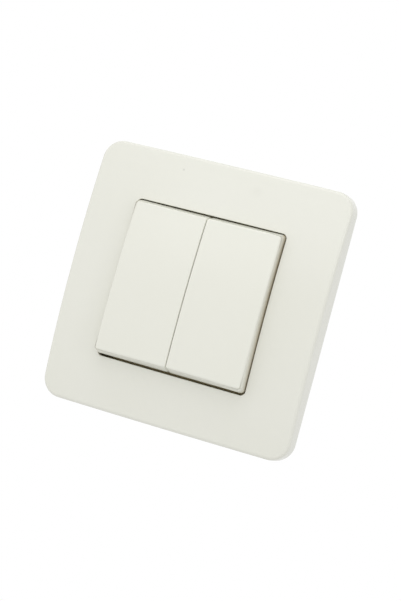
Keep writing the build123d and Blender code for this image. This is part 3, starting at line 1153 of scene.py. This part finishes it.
@dataclass
class Mechanism:
    """Support frame, housing and everything that the housing holds, with softened edges."""

    shop: Workshop
    pole_x: float = POLE_X
    tip_angle: float = TIP_ANGLE
    spring_seat: float = 3.95
    spring_length: float = 4.69
    spring_clearance: float = 0.04
    spring_edge: float = 0.02
    plunger_travel: float = 0.8

    def _spring(self, side: Side) -> None:
        """Makes a plunger's spring, on a mesh of its own.

        Args:
            side: Pole that it belongs to.
        """
        name = f"{side.word}_plunger_spring"
        spring = self.shop.softened(f"{name}_piece", name, DRAWN_WIRE, self.spring_edge)
        f"{side.word}_plunger_slide"
        tuple(row(side.value * self.pole_x, self.spring_seat, 0.0))
        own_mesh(spring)

    def build(self) -> None:
        """Makes the pieces that belong to both poles, then those of each pole."""
        # Piece, node, finish and radius of the edges in millimetres.
        shared = (
            ("pressed_support_frame", "support_frame", PASSIVATED_SHEET, 0.15),
            ("mechanism_housing", "mechanism_base", SPARKED_POLYAMIDE, 0.2),
            ("mechanism_front", "mechanism_cover", SPARKED_POLYAMIDE, 0.2),
            ("fixed_contact_rivets", "fixed_contacts", HEADED_SILVER, 0.05),
            ("slotted_clamp_screws", "terminal_screws", NICKELLED_STEEL, 0.12),
        )
        of_each_pole = (
            ("actuator", WHITE_ACETAL, 0.12),
            ("plunger", GRAPHITE_ACETAL, 0.08),
            ("contact_lever", STAMPED_BRASS, 0.08),
            ("lever_contacts", HEADED_SILVER, 0.06),
            ("common_terminal", STAMPED_BRASS, 0.1),
            ("upper_terminal", STAMPED_BRASS, 0.1),
            ("lower_terminal", STAMPED_BRASS, 0.1),
        )
        for name, node, finish, edge in shared:
            self.shop.softened(name, node, finish, edge)
        for side in Side:
            for word, finish, edge in of_each_pole:
                self.shop.softened(f"{side.word}_{word}_piece", f"{side.word}_{word}", finish, edge)
            self._spring(side)


# Studio


@dataclass(frozen=True)
class Viewpoint:
    """Camera at the photograph's viewing angle, solved from the plate's outline."""

    yaw: float = -0.3342
    pitch: float = -0.0005
    roll: float = -0.2628
    shift_x: float = -0.3777
    shift_up: float = 0.8687
    distance: float = 472.646
    focal_pixels: float = 1593.83
    image_height: float = 601.0
    centre_shift: float = 0.5
    sensor: float = 36.0
    clip: tuple[float, float] = (0.01, 20.0)

    def build(self) -> None:
        """Makes the camera."""
        turn = (
            Matrix.Rotation(self.roll, 3, "Z") @ Matrix.Rotation(self.pitch, 3, "X") @ Matrix.Rotation(self.yaw, 3, "Y")
        )
        eye = turn.transposed() @ Vector((-self.shift_x, -self.shift_up, self.distance))
        swap = Matrix(((1, 0, 0), (0, 0, -1), (0, 1, 0)))
        data = bpy.data.cameras.new("viewpoint")
        data.sensor_width = self.sensor
        data.lens = self.sensor * self.focal_pixels / self.image_height
        data.shift_x = -self.centre_shift / self.image_height
        data.shift_y = self.centre_shift / self.image_height
        data.clip_start, data.clip_end = self.clip
        camera = bpy.data.objects.new("viewpoint", data)
        camera.matrix_world = Matrix.Translation(swap @ eye * MM) @ (swap @ turn.transposed()).to_4x4()
        bpy.context.scene.collection.objects.link(camera)
        bpy.context.scene.camera = camera


@dataclass(frozen=True)
class Softbox:
    """Square area light that looks at the switch, with its place and size in metres and its power in watts."""

    name: str
    place: tuple[float, float, float]
    size: float
    power: float

    def build(self) -> None:
        """Makes the light."""
        data = bpy.data.lights.new(self.name, "AREA")
        data.size = self.size
        data.energy = self.power
        made = bpy.data.objects.new(self.name, data)
        made.location = self.place
        made.rotation_euler = (-Vector(self.place)).to_track_quat("-Z", "Y").to_euler()
        bpy.context.scene.collection.objects.link(made)


@dataclass(frozen=True)
class Studio:
    """Pale floor, white surround and plain soft light. Sizes are metres."""

    floor_level: float = -0.6
    floor_radius: float = 1.2
    floor_segments: int = 96
    floor_tone: str = "#E6E6E6"
    floor_roughness: float = 0.9
    floor_lift: float = 0.36
    surround: float = 0.712
    boxes: tuple[Softbox, ...] = (
        Softbox("key_softbox", (0.0, -1.05, 1.0), 2.0, 8.2),
        Softbox("overhead_softbox", (0.0, -0.45, 1.4), 1.2, 1.9),
        Softbox("side_softbox", (-1.25, -0.75, 0.1), 1.2, 1.2),
        Softbox("edge_softbox", (1.25, -0.75, 0.35), 0.3, 1.0),
    )

    def _seen(self, tree: bpy.types.NodeTree) -> bpy.types.NodeSocket:
        """Tells what is looked at from what only gives light.

        Args:
            tree: Node tree that takes the nodes.

        Returns:
            A value of 1 for camera, glossy and transmission rays, and of 0 for others.
        """
        path = add(tree, "ShaderNodeLightPath")
        seen = path.outputs["Is Camera Ray"]
        for name in ("Is Glossy Ray", "Is Transmission Ray"):
            seen = add(tree, "ShaderNodeMath", {"operation": "ADD"}, {0: seen, 1: path.outputs[name]}).outputs[0]
        return seen

    def _world(self) -> None:
        """White for the camera and in reflections, and a softer white as light."""
        world = bpy.data.worlds.new("white_surround")
        world.use_nodes = True
        tree = world.node_tree
        tree.nodes.clear()
        level = add(
            tree, "ShaderNodeMapRange", {"To Min": self.surround, "To Max": 1.0}, {"Value": self._seen(tree)}
        )
        light = add(tree, "ShaderNodeBackground", {"Color": WHITE}, {"Strength": level.outputs["Result"]})
        add(tree, "ShaderNodeOutputWorld", {}, {"Surface": light.outputs["Background"]})
        bpy.context.scene.world = world

    def _floor(self) -> None:
        """Round pale floor, far enough below to keep its shadow out of the photograph's frame."""
        mesh = bmesh.new()
        bmesh.ops.create_circle(mesh, cap_ends=True, segments=self.floor_segments, radius=self.floor_radius)
        bmesh.ops.translate(mesh, verts=mesh.verts, vec=(0, 0, self.floor_level))
        data = bpy.data.meshes.new("pale_floor")
        mesh.to_mesh(data)
        mesh.free()
        made = bpy.data.materials.new("pale_floor_paper")
        made.use_nodes = True
        tree = made.node_tree
        shader = tree.nodes["Principled BSDF"]
        shader.inputs["Base Color"].default_value = linear(self.floor_tone)
        shader.inputs["Roughness"].default_value = self.floor_roughness
        shader.inputs["Emission Color"].default_value = WHITE
        lift = add(
            tree, "ShaderNodeMapRange", {"To Min": 0.0, "To Max": self.floor_lift}, {"Value": self._seen(tree)}
        )
        tree.links.new(lift.outputs["Result"], shader.inputs["Emission Strength"])
        data.materials.append(made)
        floor = bpy.data.objects.new("pale_floor", data)
        bpy.context.scene.collection.objects.link(floor)

    def build(self) -> None:
        """Makes the stage."""
        bpy.context.scene.view_settings.view_transform = "Standard"
        self._world()
        self._floor()
        for box in self.boxes:
            box.build()


def main() -> None:
    """Builds the switch and its studio in order."""
    logging.basicConfig(level=logging.INFO, format="%(message)s")
    for item in list(bpy.data.objects):
        bpy.data.objects.remove(item)
    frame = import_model()
    shop = Workshop(frame)
    Viewpoint().build()
    Studio().build()
    CoverPlate(shop).build()
    for side in Side:
        RockerCap(shop, side).build()
    Mechanism(shop).build()


if __name__ == "__main__":
    main()
